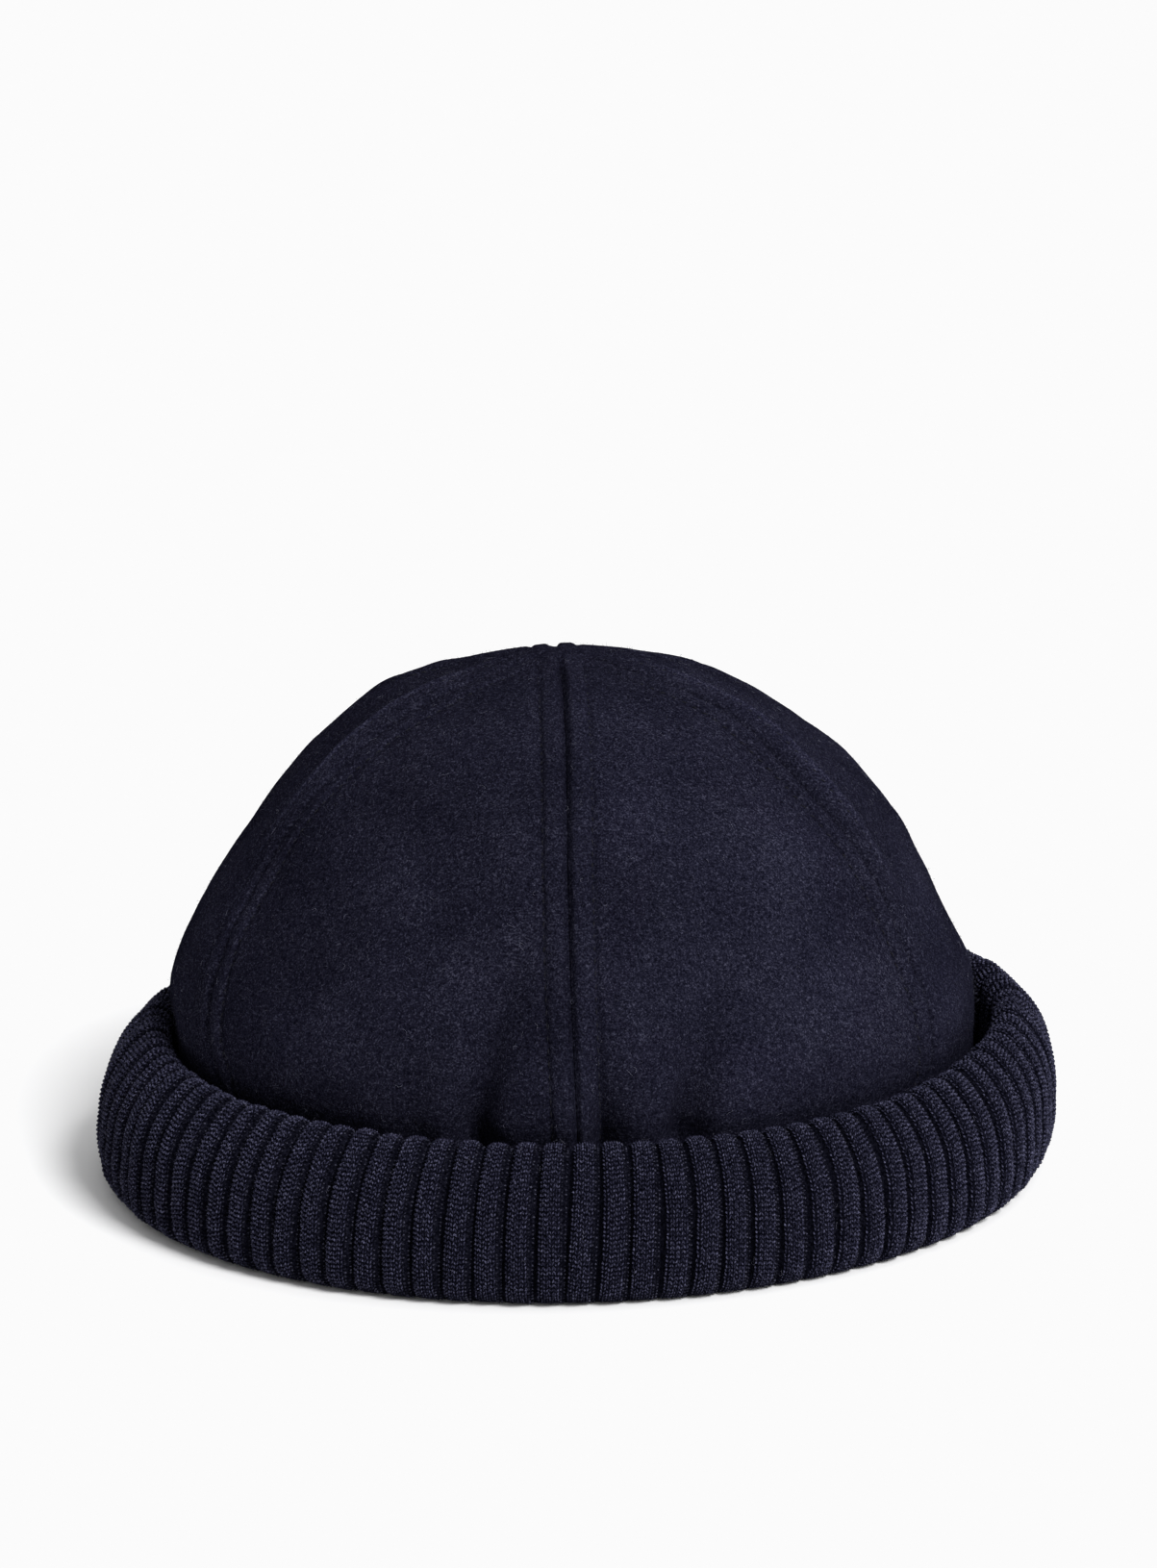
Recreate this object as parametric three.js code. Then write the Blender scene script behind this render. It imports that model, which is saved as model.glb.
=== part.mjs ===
// A rolled-cuff cap: six gores of felted wool sewn into a round crown, over a
// cuff of thick rib knit that turns up outside the crown, leans in over itself
// and folds down again beside the crown. Millimetres, +Z up, the front seam towards -Y, standing
// on its cuff with the origin at the middle of its foot.
import * as THREE from "three";

// Crown: the outer surface of the felt where it meets the cuff
const crownHalfWidth = 96;
const crownHalfLength = 97.5;
const crownTopZ = 125.5;
const feltThick = 2;
const panelCount = 6;
const frontSeam = -Math.PI / 2;
const apexHoleRadius = 1.2;

// Seams between the gores, with the allowance that is turned under and stitched
const seamGap = 0.3;
const allowanceThick = 1.4;
const allowanceWidth = 7.5;
const allowanceFade = 2;
const stitchOffset = 5.6;
const stitchWidth = 2;
const stitchDepth = 0.5;
const seamRidge = 0.5;
const notchWidth = 1.2;
const notchDepth = 0.9;

// Cuff: a thick knit, turned up at the floor, whose side leans in along a wide
// shoulder and folds over at the top. Angles are in degrees.
const cuffHeight = 36.2;
const knitThick = 6;
const rollGap = 3.9;
const shoulderRadius = 25;
const shoulderTurn = 52;
const insideBend = 0.9;
const cuffClearance = 2;
const joinHeight = 15;
const joinGap = 0.3;
const freeEndHeight = 13;
const outerBend = 0.8;
const innerBend = 1;
const cuffBelly = 0.4;
const ribCount = 100;
const ribRelief = 1.9;
const ribLean = 1;
const hiddenColumns = 48;

// Shape of the crown above the cuff. Height is a share of the crown's rise above
// the cuff, and the other lengths are shares of its half width: radius is the
// round outline, flat is how far the middle of a gore lies inside it, and leanX
// and leanY are how far the soft crown leans to one side. Turn is how far round
// the seams have wandered there, in degrees from the front seam towards +X.
const crownRows = [
  { height: 0.0, radius: 1.0, flat: 0.0, leanX: 0.0, leanY: 0.0, turn: 0.0 },
  { height: 0.11, radius: 0.999, flat: 0.003, leanX: -0.007, leanY: 0.0, turn: 0.3 },
  { height: 0.25, radius: 0.955, flat: 0.008, leanX: -0.0166, leanY: 0.003, turn: 0.7 },
  { height: 0.38, radius: 0.896, flat: 0.012, leanX: -0.007, leanY: 0.006, turn: 0.0 },
  { height: 0.5, radius: 0.829, flat: 0.015, leanX: 0.005, leanY: 0.008, turn: -0.9 },
  { height: 0.63, radius: 0.74, flat: 0.018, leanX: 0.0, leanY: 0.004, turn: -0.6 },
  { height: 0.75, radius: 0.6215, flat: 0.02, leanX: -0.0175, leanY: 0.0, turn: 1.1 },
  { height: 0.86, radius: 0.478, flat: 0.018, leanX: -0.019, leanY: 0.0, turn: 1.7 },
  { height: 0.932, radius: 0.31, flat: 0.012, leanX: -0.02, leanY: 0.002, turn: 2.3 },
  { height: 0.975, radius: 0.15, flat: 0.005, leanX: -0.021, leanY: 0.004, turn: 3.3 },
];

// How far each seam bows round from its even place at half the crown's height, in
// degrees, from the front seam on towards +X
const seamBows = [0, 0, 0, 0, 0, -5.5];

// Dents pressed into the soft crown: how far round it they lie, from the front
// seam towards +X, and how high, as a share of its rise above the cuff. Their
// half sizes and depths are shares of the half width, and lean is how far round
// they run for each unit of height, in degrees.
const dents = [
  { degrees: -15, height: 0.02, wide: 0.06, tall: 0.26, depth: 0.034, lean: 0 },
  { degrees: 6.5, height: 0.0, wide: 0.045, tall: 0.17, depth: 0.022, lean: 0 },
  { degrees: 17, height: 0.06, wide: 0.07, tall: 0.3, depth: 0.02, lean: 26 },
];

// Unevenness of the turned-up knit at even steps round it, from +X towards +Y:
// how much taller it stands, as a share of its height, how much further out its
// side bulges, and how much further out its top leans, pivoting on its free end.
const cuffShape = [
  { rise: 0.06, bulge: 0.5, splay: 2.6 },
  { rise: 0.055, bulge: 0.9, splay: -1.2 },
  { rise: 0.055, bulge: 0.0, splay: 0.0 },
  { rise: 0.01, bulge: -2.0, splay: -1.0 },
  { rise: 0.04, bulge: 0.7, splay: -1.0 },
  { rise: -0.005, bulge: 1.2, splay: 0.0 },
  { rise: -0.033, bulge: 0.7, splay: 0.0 },
  { rise: -0.06, bulge: 0.0, splay: -0.8 },
];

// Steps of the mesh: plain columns across the middle of a gore, steps in each
// bend of the cuff's section, and the share of a narrow tip that seams may fill
const plainColumns = 3;
const cornerSteps = 3;
const shoulderSteps = 4;
const foldSteps = 3;
const tipShare = 0.75;

const cuffThick = 2 * knitThick + rollGap;
const crownRise = crownTopZ - cuffHeight;
const outerReach = cuffClearance + cuffThick;
const turnedHeight = cuffHeight - freeEndHeight;
const meanRadius = (crownHalfWidth + crownHalfLength) / 2;
const fullTurn = 2 * Math.PI;

const mix = (a, b, t) => a + (b - a) * t;
const smooth = (t) => t * t * (3 - 2 * t);
const bump = (t) => Math.exp(-t * t);

// A closed body gathered from rows of points
class Body {
  points = [];
  faces = [];

  row(points) {
    const first = this.points.length;
    this.points.push(...points);
    return points.map((_, index) => first + index);
  }

  // Joins two rows, stepping along whichever lags. The side that shows has the
  // rows running to the right and the second row above the first.
  zip(lower, upper) {
    let [i, j] = [0, 0];
    const [lastLow, lastUp] = [lower.length - 1, upper.length - 1];
    while (i < lastLow || j < lastUp) {
      const stepLow = j === lastUp || (i < lastLow && (i + 1) * lastUp <= (j + 1) * lastLow);
      if (stepLow) {
        this.faces.push(lower[i], lower[i + 1], upper[j]);
        i += 1;
      } else {
        this.faces.push(lower[i], upper[j + 1], upper[j]);
        j += 1;
      }
    }
  }

  mesh(name, material) {
    const geometry = new THREE.BufferGeometry();
    geometry.setAttribute("position", new THREE.Float32BufferAttribute(this.points.flat(), 3));
    geometry.setIndex(this.faces);
    geometry.computeVertexNormals();
    const mesh = new THREE.Mesh(geometry, material);
    mesh.name = name;
    return mesh;
  }
}

const closed = (row) => [...row, row[0]];

// The crown's own round surface, without seams or dents: a point and the way
// that the cloth faces there, from a row of the table and an angle
function crownPoint(row, angle) {
  const [cos, sin] = [Math.cos(angle), Math.sin(angle)];
  const aroundSeams = (1 - Math.cos(panelCount * (angle - frontSeam))) / 2;
  const share = row.radius * (1 - row.flat * aroundSeams);
  const level = new THREE.Vector2(cos / crownHalfWidth, sin / crownHalfLength).normalize();
  return {
    at: new THREE.Vector3(
      crownHalfWidth * (share * cos + row.leanX),
      crownHalfLength * (share * sin + row.leanY),
      row.z,
    ),
    facing: new THREE.Vector3(level.x * row.facingOut, level.y * row.facingOut, row.facingUp),
  };
}

// How deep the dents are at a place on the crown
function dentDepth(row, angle) {
  const fromFront = THREE.MathUtils.radToDeg(angle - frontSeam);
  const above = Math.max(row.height, 0);
  return dents.reduce((depth, dent) => {
    const middle = dent.degrees + dent.lean * (above - dent.height);
    const turn = THREE.MathUtils.euclideanModulo(fromFront - middle + 180, 360) - 180;
    const across = THREE.MathUtils.degToRad(turn) * row.radius;
    const up = ((row.height - dent.height) * crownRise) / crownHalfWidth;
    return depth + dent.depth * crownHalfWidth * bump(across / dent.wide) * bump(up / dent.tall);
  }, 0);
}

// Rows of the crown from its sewn edge, hidden behind the cuff, to the hole at
// the apex, each with the slope of the cloth
function crownLevels() {
  const hidden = { ...crownRows[0], height: (joinHeight + joinGap - cuffHeight) / crownRise };
  const halfHidden = { ...hidden, height: hidden.height / 2 };
  const top = { ...crownRows.at(-1), height: 1, radius: apexHoleRadius / crownHalfWidth, flat: 0 };
  const levels = [hidden, halfHidden, ...crownRows, top];
  return levels.map((row, index) => {
    const before = levels[Math.max(index - 1, 0)];
    const after = levels[Math.min(index + 1, levels.length - 1)];
    const rise = (after.height - before.height) * crownRise;
    const inward = (before.radius - after.radius) * crownHalfWidth;
    const length = Math.hypot(rise, inward);
    const z = cuffHeight + row.height * crownRise;
    return { ...row, z, facingOut: rise / length, facingUp: inward / length };
  });
}

// Columns from a seam to the middle of a gore: how far across from the seam,
// how far the cloth stands out there and how much thicker its inside is
const seamColumns = [
  { across: seamGap / 2, out: seamRidge - notchDepth, inside: allowanceThick },
  { across: notchWidth, out: seamRidge, inside: allowanceThick },
  { across: stitchOffset - stitchWidth / 2, out: seamRidge, inside: allowanceThick },
  { across: stitchOffset, out: seamRidge - stitchDepth, inside: allowanceThick },
  { across: allowanceWidth, out: seamRidge / 2, inside: allowanceThick },
  { across: allowanceWidth + allowanceFade, out: 0, inside: 0 },
];

// The angle of a seam at one level of the crown
function seamAngle(row, seam) {
  const bow = seamBows[seam % panelCount] * Math.sin(Math.PI * Math.max(row.height, 0));
  return frontSeam + (seam * fullTurn) / panelCount + THREE.MathUtils.degToRad(row.turn + bow);
}

// Columns of a gore at one level, as angles from its own middle. Near the apex
// the seam's columns draw together, and the ridge and the grooves fade out.
function goreColumns(row, halfAngle) {
  const radius = row.radius * meanRadius;
  const [edge, widest] = [seamColumns[0].across, seamColumns.at(-1).across];
  const room = (radius * halfAngle * tipShare - edge) / (widest - edge);
  const squeeze = Math.min(1, room);
  const left = seamColumns.map((column) => ({
    angle: (edge + (column.across - edge) * squeeze) / radius - halfAngle,
    out: column.out * squeeze,
    inside: column.inside,
  }));
  const innermost = left.at(-1);
  const middle = Array.from({ length: plainColumns }, (_, index) => ({
    ...innermost,
    angle: mix(innermost.angle, -innermost.angle, (index + 1) / (plainColumns + 1)),
  }));
  const right = left.map((column) => ({ ...column, angle: -column.angle })).reverse();
  return [...left, ...middle, ...right];
}

// One gore: a curved wall of felt from seam to seam
function crownPanel(index, material) {
  const body = new Body();
  const skins = crownLevels().map((row) => {
    const [start, end] = [seamAngle(row, index), seamAngle(row, index + 1)];
    const middleAngle = mix(start, end, 0.5);
    const outer = [];
    const inner = [];
    for (const column of goreColumns(row, end - middleAngle)) {
      const angle = middleAngle + column.angle;
      const { at, facing } = crownPoint(row, angle);
      at.addScaledVector(facing, -dentDepth(row, angle));
      outer.push(at.clone().addScaledVector(facing, column.out).toArray());
      inner.push(at.clone().addScaledVector(facing, -feltThick - column.inside).toArray());
    }
    return { outer: body.row(outer), inner: body.row(inner) };
  });
  const loop = ({ outer, inner }) => closed([...outer, ...inner.toReversed()]);
  skins.slice(1).forEach((skin, level) => body.zip(loop(skins[level]), loop(skin)));
  body.zip(skins[0].inner, skins[0].outer);
  body.zip(skins.at(-1).outer, skins.at(-1).inner);
  return body.mesh(`crown_panel_${index + 1}`, material);
}

// Part of the cuff's section that bends round a centre, from one way of facing
// to another, in degrees where 0 faces outwards and 90 faces up
function bend(centre, radius, from, to, steps, skin) {
  return Array.from({ length: steps + 1 }, (_, index) => {
    const turn = THREE.MathUtils.degToRad(mix(from, to, index / steps));
    const [out, up] = [Math.cos(turn), Math.sin(turn)];
    return { offset: centre[0] + radius * out, z: centre[1] + radius * up, out, up, ...skin };
  });
}

// The cuff's section, from the sewn edge down the head's side, out along the
// foot, up the outside, in along the shoulder, over the fold and down beside the
// crown, and then back the same way through the inside. Offset is measured
// outwards from the crown's outer surface; out and up say which way the knit
// faces, and moves marks the turned-up part, which is uneven.
function cuffSection() {
  const plain = { ribs: 0, moves: 0 };
  const lining = { ribs: 0, moves: 1 };
  const ribbed = { ribs: 1, moves: 1 };
  const innerCentre = [innerBend, innerBend + knitThick];
  const outerCentre = [outerReach - knitThick - outerBend, knitThick + outerBend];
  const turn = THREE.MathUtils.degToRad(shoulderTurn);
  const leanedIn = shoulderRadius * (1 - Math.cos(turn));
  const foldRadius = (cuffThick - leanedIn) / (1 + Math.cos(turn));
  const foldCentre = [cuffClearance + foldRadius, cuffHeight - foldRadius];
  const shoulderCentre = [
    outerReach - shoulderRadius,
    foldCentre[1] - (shoulderRadius - foldRadius) * Math.sin(turn),
  ];
  const insideRadius = shoulderRadius - knitThick;
  const insideOffset = cuffClearance + knitThick + insideBend;
  const across = insideOffset - shoulderCentre[0];
  const insideRise = Math.sqrt((insideRadius - insideBend) ** 2 - across ** 2);
  const insideCentre = [insideOffset, shoulderCentre[1] + insideRise];
  const insideTurn = THREE.MathUtils.radToDeg(Math.atan2(insideRise, across));
  const middleZ = mix(outerCentre[1], shoulderCentre[1], 0.5);
  return [
    { offset: -knitThick, z: joinHeight, out: -1, up: 0, ...plain },
    ...bend(innerCentre, innerBend + knitThick, 180, 270, cornerSteps, plain),
    ...bend(outerCentre, outerBend + knitThick, -90, 0, cornerSteps, ribbed),
    { offset: outerReach + cuffBelly, z: middleZ, out: 1, up: 0, ...ribbed },
    ...bend(shoulderCentre, shoulderRadius, 0, shoulderTurn, shoulderSteps, ribbed),
    ...bend(foldCentre, foldRadius, shoulderTurn, 180, foldSteps, ribbed).slice(1),
    { offset: cuffClearance, z: freeEndHeight, out: -1, up: 0, ...ribbed },
    { offset: cuffClearance + knitThick, z: freeEndHeight, out: 1, up: 0, ...lining },
    ...bend(insideCentre, insideBend, 180, insideTurn, 2, lining),
    ...bend(shoulderCentre, insideRadius, insideTurn, 0, 2, lining).slice(1),
    ...bend(outerCentre, outerBend, 0, -90, 1, lining),
    ...bend(innerCentre, innerBend, 270, 180, 1, plain),
    { offset: 0, z: joinHeight, out: 1, up: 0, ...plain },
  ];
}

// The unevenness of the turned-up knit at an angle, eased from step to step
function cuffUneven(angle) {
  const turn = THREE.MathUtils.euclideanModulo(angle / fullTurn, 1) * cuffShape.length;
  const index = Math.floor(turn);
  const here = cuffShape[index];
  const next = cuffShape[(index + 1) % cuffShape.length];
  const share = smooth(turn - index);
  return {
    rise: mix(here.rise, next.rise, share),
    bulge: mix(here.bulge, next.bulge, share),
    splay: mix(here.splay, next.splay, share),
  };
}

// One ring round the cuff. A ribbed ring alternates between crest and groove,
// but the grooves fade out at the foot, which is flat. The ribs lean round the
// cuff as they rise.
function cuffRing(spot) {
  const count = spot.ribs ? 2 * ribCount : hiddenColumns;
  const atFoot = spot.z <= 0;
  const lean = THREE.MathUtils.degToRad(ribLean * spot.ribs) * (spot.z / cuffHeight);
  const [reach, above] = [spot.offset / outerReach, (spot.z - freeEndHeight) / turnedHeight];
  return Array.from({ length: count }, (_, index) => {
    const angle = frontSeam + (index * fullTurn) / count + lean;
    const { rise, bulge, splay } = cuffUneven(angle);
    const groove = spot.ribs && index % 2 && !atFoot ? ribRelief : 0;
    const spread = spot.moves * (bulge * reach + splay * above);
    const offset = spot.offset + spread - groove * spot.out;
    const z = (spot.z - groove * spot.up) * (1 + spot.moves * rise);
    return [
      (crownHalfWidth + offset) * Math.cos(angle),
      (crownHalfLength + offset) * Math.sin(angle),
      z,
    ];
  });
}

function ribCuff(material) {
  const body = new Body();
  const rings = cuffSection().map((spot) => closed(body.row(cuffRing(spot))));
  rings.forEach((ring, index) => body.zip(ring, rings[(index + 1) % rings.length]));
  return body.mesh("rib_cuff", material);
}

const felt = new THREE.MeshStandardMaterial({ color: 0x1d1d2a, roughness: 0.95, metalness: 0 });
const knit = new THREE.MeshStandardMaterial({ color: 0x1b1b27, roughness: 0.9, metalness: 0 });

const cap = new THREE.Group();
for (let index = 0; index < panelCount; index += 1) {
  cap.add(crownPanel(index, felt));
}
cap.add(ribCuff(knit));

export default cap;
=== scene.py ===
import math

import bpy
import numpy as np
from mathutils import Matrix, Vector


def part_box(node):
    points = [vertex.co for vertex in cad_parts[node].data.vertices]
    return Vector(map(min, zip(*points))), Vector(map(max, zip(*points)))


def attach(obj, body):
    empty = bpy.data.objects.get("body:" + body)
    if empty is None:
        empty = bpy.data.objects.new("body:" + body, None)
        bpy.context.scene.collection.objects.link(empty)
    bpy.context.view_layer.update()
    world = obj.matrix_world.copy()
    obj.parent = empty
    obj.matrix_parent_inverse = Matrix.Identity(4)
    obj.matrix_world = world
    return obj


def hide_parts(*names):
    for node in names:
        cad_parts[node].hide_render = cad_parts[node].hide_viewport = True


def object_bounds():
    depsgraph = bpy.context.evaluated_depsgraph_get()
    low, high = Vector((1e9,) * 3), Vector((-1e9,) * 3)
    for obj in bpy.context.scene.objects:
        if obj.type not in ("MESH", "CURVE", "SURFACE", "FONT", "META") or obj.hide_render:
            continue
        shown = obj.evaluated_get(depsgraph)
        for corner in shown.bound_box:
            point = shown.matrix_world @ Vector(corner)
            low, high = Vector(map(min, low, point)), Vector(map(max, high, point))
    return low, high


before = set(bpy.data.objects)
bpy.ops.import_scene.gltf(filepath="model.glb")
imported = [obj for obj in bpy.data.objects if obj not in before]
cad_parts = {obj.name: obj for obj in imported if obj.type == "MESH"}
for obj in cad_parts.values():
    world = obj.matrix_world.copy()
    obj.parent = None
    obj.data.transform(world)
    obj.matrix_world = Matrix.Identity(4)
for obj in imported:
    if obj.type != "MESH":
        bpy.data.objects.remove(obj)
cad_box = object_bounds()

MM = 0.001
FULL_TURN = 2 * math.pi
FRONT = -math.pi / 2

# Seeds of the random draws
RIB_SEED = 20
LONG_LUMP_SEED = 3
SHORT_LUMP_SEED = 4
BRUSHED_SEED = 6
PURL_SEED = 7
NAP_SEED = 11
LINT_SEED = 31
STITCH_SEED = 100

# The photograph's height in pixels, and the camera that was fitted to it
PHOTO_HEIGHT = 1630
FOCAL_PIXELS = 6553
CAMERA_DISTANCE = 1.5
CAMERA_PITCH = math.radians(14.1)
CAMERA_ROLL = math.radians(1.39)
CAMERA_AIM = Vector((0.0022, 0.0, 0.0924))

# Light, as shares of a white that just fills the film. The lean is the share by which
# the room is brighter at the right, and the key stands to the side of the camera.
ROOM_LIGHT = 0.64
ROOM_LEAN = 0.7
KEY_LIGHT = 1.04
KEY_SPREAD = math.radians(22)
KEY_SIDE = math.radians(36)
KEY_HEIGHT = math.radians(42)

# Film: how light its white is, and up to where its curve stays straight
FILM_WHITE = 0.965
FILM_SHOULDER = 0.8

# Crown, as the solids have it
PANEL_COUNT = 6
FELT_THICK = 2 * MM
ALLOWANCE_THICK = 1.4 * MM
ALLOWANCE_WIDTH = 7.5 * MM
ALLOWANCE_FADE = 2 * MM
SEAM_RIDGE = 0.5 * MM
JOIN_HEIGHT = 15 * MM
JOIN_GAP = 0.3 * MM
HALF_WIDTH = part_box("crown_panel_2")[1][0]
HALF_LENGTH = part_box("crown_panel_3")[1][1] - SEAM_RIDGE
TOP_Z = cad_box[1][2]

# Cuff, as the solids have it
CUFF_HEIGHT = 36.2 * MM
KNIT_THICK = 6 * MM
ROLL_GAP = 3.9 * MM
SHOULDER_RADIUS = 25 * MM
SHOULDER_TURN = 52
INSIDE_BEND = 0.9 * MM
CUFF_CLEARANCE = 2 * MM
FREE_END_HEIGHT = 13 * MM
OUTER_BEND = 0.8 * MM
INNER_BEND = 1 * MM
CUFF_BELLY = 0.4 * MM
RIB_COUNT = 100
RIB_LEAN = math.radians(1)
CUFF_THICK = 2 * KNIT_THICK + ROLL_GAP
OUTER_REACH = CUFF_CLEARANCE + CUFF_THICK
CROWN_RISE = TOP_Z - CUFF_HEIGHT

# Ribs, deeper and squarer than in the solids: their depth, how far their crests stand to
# one side, the power of their section, the share of the depth that the fold takes, how
# far from the foot they reach it, and the range of their sizes
RIB_RELIEF = 2.9 * MM
RIB_SKEW = 0.14
RIB_SHARPNESS = 3.6
FOLD_FLATTENED = 0.3
FOOT_FADE = 10 * MM
RIB_SIZES = (0.88, 1.08)

# How far a rib wanders to the side, as a share of its width, and over what length
RIB_WANDER = 0.05
RIB_WANDER_LENGTH = 11 * MM

# The crown above the cuff: height is a share of its rise, turn is how far its seams have
# wandered round in degrees, and the rest are shares of its half width
CROWN_COLUMNS = ("height", "radius", "flat", "lean_x", "lean_y", "turn")
CROWN_ROWS = [
    (0.0, 1.0, 0.0, 0.0, 0.0, 0.0),
    (0.11, 0.999, 0.003, -0.007, 0.0, 0.3),
    (0.25, 0.955, 0.008, -0.0166, 0.003, 0.7),
    (0.38, 0.896, 0.012, -0.007, 0.006, 0.0),
    (0.5, 0.829, 0.015, 0.005, 0.008, -0.9),
    (0.63, 0.74, 0.018, 0.0, 0.004, -0.6),
    (0.75, 0.6215, 0.02, -0.0175, 0.0, 1.1),
    (0.86, 0.478, 0.018, -0.019, 0.0, 1.7),
    (0.932, 0.31, 0.012, -0.02, 0.002, 2.3),
    (0.975, 0.15, 0.005, -0.021, 0.004, 3.3),
]

# How far each seam bows round at half the crown's height, in degrees, from the front
# seam on towards +X
SEAM_BOWS = np.array([0, 0, 0, 0, 0, -5.5])

# How light each gore's felt looks, from the gore right of the front seam towards +X. This
# is painted shade, darker away from the key light at the right, with a part from the nap
# laid another way on each gore. Then how uneven the tone is within a gore
GORE_PAINTED_SHADE = (1.0, 0.96, 0.93, 0.92, 0.92, 0.87)
BRUSHED_UNEVEN = 0.07
BRUSHED_LENGTH = 45 * MM

# Dents: degrees from the front seam towards +X, height as a share of the rise, half
# sizes and depth as shares of the half width, and degrees that they lean for each unit
# of height. The first three follow those of the solids. The rest are creases, deepest
# behind the knit.
DENTS = [
    dict(degrees=-14, height=0.02, wide=0.055, tall=0.26, depth=0.03, lean=10),
    dict(degrees=6.0, height=0.0, wide=0.045, tall=0.17, depth=0.022, lean=0),
    dict(degrees=16.5, height=0.06, wide=0.065, tall=0.3, depth=0.022, lean=18),
    dict(degrees=-16.6, height=-0.12, wide=0.042, tall=0.32, depth=0.08, lean=16),
    dict(degrees=3.6, height=-0.12, wide=0.036, tall=0.26, depth=0.07, lean=0),
    dict(degrees=13.9, height=-0.12, wide=0.044, tall=0.32, depth=0.1, lean=16),
    dict(degrees=-22.5, height=-0.12, wide=0.045, tall=0.2, depth=0.025, lean=0),
]

# Soft folds that stand up beyond the two seams beside the front one: how far beyond, in
# millimetres towards +X, height and half height as shares of the rise, and how many
# millimetres they stand up
FOLDS = [
    dict(seam=1, beside=7, height=0.76, tall=0.26, raised=2.2),
    dict(seam=5, beside=-7, height=0.82, tall=0.22, raised=1.8),
]
FOLD_WIDTH = 2.6 * MM

# Painted highlight on the soft folds: how much lighter the felt is painted on a fold, for
# each millimetre that it stands up, where the key light catches it
FOLD_PAINTED_HIGHLIGHT = 0.35

# How deep the felt tucks in behind the knit at the front, its height and half height as
# shares of the rise, and the share of it at the sides and behind
TUCK_DEPTH = 2.6 * MM
TUCK_HEIGHT = -0.075
TUCK_RISE = 0.06
TUCK_BEHIND = 0.2

# Unevenness of the turned-up knit at even steps round it, from +X towards +Y: by what
# share it stands taller, and how many millimetres further out its side bulges and its
# top leans
CUFF_RISES = [0.06, 0.055, 0.055, 0.01, 0.04, -0.005, -0.033, -0.06]
CUFF_BULGES = [0.5, 0.9, 0.0, -2.0, 0.7, 1.2, 0.7, 0.0]
CUFF_SPLAYS = [2.6, -1.2, 0.0, -1.0, -1.0, 0.0, 0.0, -0.8]


# Meshes

def mesh_object(name, points, faces, uv, material):
    """A smooth mesh object from arrays of points and of faces with equal corners."""
    mesh = bpy.data.meshes.new(name)
    corners = faces.shape[1]
    mesh.vertices.add(len(points))
    mesh.vertices.foreach_set("co", points.astype(np.float32).ravel())
    mesh.loops.add(faces.size)
    mesh.loops.foreach_set("vertex_index", faces.astype(np.int32).ravel())
    mesh.polygons.add(len(faces))
    mesh.polygons.foreach_set("loop_start", np.arange(0, faces.size, corners, dtype=np.int32))
    mesh.polygons.foreach_set("use_smooth", np.ones(len(faces), bool))
    mesh.uv_layers.new(name="OFBake")
    mesh.uv_layers["OFBake"].uv.foreach_set("vector", uv.astype(np.float32).ravel())
    mesh.update(calc_edges=True)
    mesh.validate()
    mesh.materials.append(material)
    piece = bpy.data.objects.new(name, mesh)
    bpy.context.collection.objects.link(piece)
    return piece


def stacked(*parts):
    """Arrays that broadcast to one shape, side by side along a new last axis."""
    return np.stack(np.broadcast_arrays(*parts), -1)


def grids(*axes):
    """Every combination of the values of some axes, as one flat array for each axis."""
    return [grid.ravel() for grid in np.meshgrid(*axes, indexing="ij")]


# Heights on the map of a closed body: the ring faces start and end this far inside it,
# and the end faces take up a strip of this height
MAP_MARGIN = 0.02
MAP_STRIP = 0.015


def ring_body(name, rings, material, torus=False):
    """A closed body from rings of points. A torus joins its last ring to its first.
    Otherwise each end is closed across, from the ring's first half to its second."""
    rows, columns = rings.shape[:2]
    mapped = 1 - 2 * MAP_MARGIN
    row = np.arange(rows if torus else rows - 1)[:, None]
    column = np.arange(columns)[None, :]
    corners = [(row, column), (row, column + 1), (row + 1, column + 1), (row + 1, column)]
    faces = [np.stack([(r % rows) * columns + c % columns for r, c in corners], -1)]
    spread = [stacked(c / columns, MAP_MARGIN + mapped * r / rows) for r, c in corners]
    uv = [np.stack(spread, 2)]
    if not torus:
        near = np.arange(columns // 2 - 1)
        far = columns - 1 - near
        last = (rows - 1) * columns
        across = near / columns
        wide = 1 / columns
        for start, low, high in ((0, 0.0, MAP_STRIP), (last, 1.0, 1 - MAP_STRIP)):
            ends = [near, far, far - 1, near + 1]
            edge = [(across, high), (across, low), (across + wide, low), (across + wide, high)]
            if start:
                ends = ends[::-1]
                edge = edge[::-1]
            faces.append(np.stack(ends, -1) + start)
            uv.append(np.stack([stacked(u, v) for u, v in edge], 1))
    faces = np.concatenate([part.reshape(-1, 4) for part in faces])
    uv = np.concatenate([part.reshape(-1, 2) for part in uv])
    return mesh_object(name, rings.reshape(-1, 3), faces, uv, material)


def unit(vectors):
    """Vectors of the same directions, one unit long."""
    return vectors / np.maximum(np.linalg.norm(vectors, axis=-1, keepdims=True), 1e-12)


def smoothstep(low, high, value):
    """Zero up to low, one from high on, and eased between them."""
    share = np.clip((value - low) / (high - low), 0, 1)
    return share * share * (3 - 2 * share)


WAVE_COUNT = 9
WAVE_STRETCH = (0.7, 1.6)


def soft_waves(points, wavelength, seed):
    """Smooth unevenness of about one unit, from plane waves in random directions."""
    pick = np.random.default_rng(seed)
    total = np.zeros(points.shape[:-1])
    for _ in range(WAVE_COUNT):
        heading = unit(pick.normal(size=3))
        stretch = pick.uniform(*WAVE_STRETCH) * FULL_TURN / wavelength
        total += np.sin(points @ heading * stretch + pick.uniform(0, FULL_TURN))
    return total / math.sqrt(WAVE_COUNT / 2)


# Crown surface

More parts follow.
